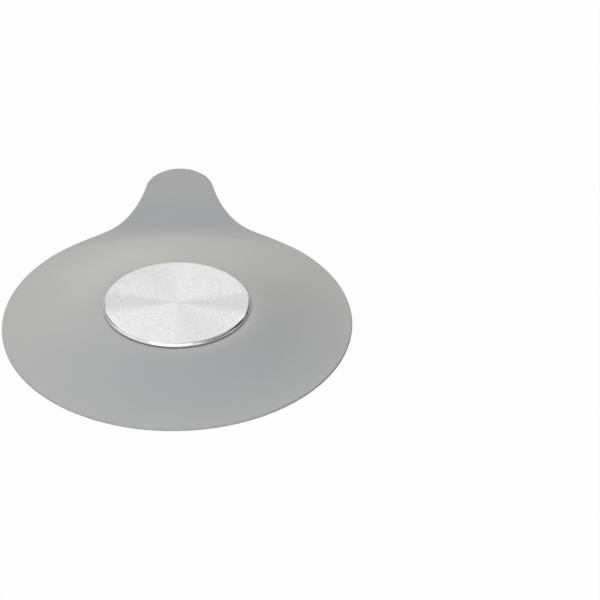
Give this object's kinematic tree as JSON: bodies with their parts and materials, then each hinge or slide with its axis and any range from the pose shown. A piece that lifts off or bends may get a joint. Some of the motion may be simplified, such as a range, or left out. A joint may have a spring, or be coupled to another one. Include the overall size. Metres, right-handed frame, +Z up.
{
  "type": "drain stopper",
  "caption": "Flat silicone bath drain stopper: a low bell with a sealing ring below, a raised pull tab, and a round steel cap over a weight.",
  "frame": {"origin": "on the bell's axis, on the plane that the sealing ring lies on, where it is centred over a drain", "axes": "+Z up along the bell's axis, +Y towards the pull tab, +X to the right seen from the front"},
  "size_m": [0.16, 0.1989, 0.0122],
  "materials": {
    "silicone": "matt moulded silicone",
    "brushed_cap": "turned brushing in rings about the centre",
    "weight_steel": "plain rolled sheet, out of sight"
  },
  "bodies": {
    "mat": {"silicone_mat": "silicone", "steel_cap": "brushed_cap", "weight_disc": "weight_steel"},
    "tab": {"pull_tab": "silicone"}
  },
  "joints": [
    {"name": "tab_flex", "type": "hinge", "parent": "mat", "child": "tab", "pos_m": [0, 0.086, 0.00561], "axis": [1, 0, 0], "range_deg": [0, 90], "stiffness_Nm_per_rad": 0.006}
  ]
}
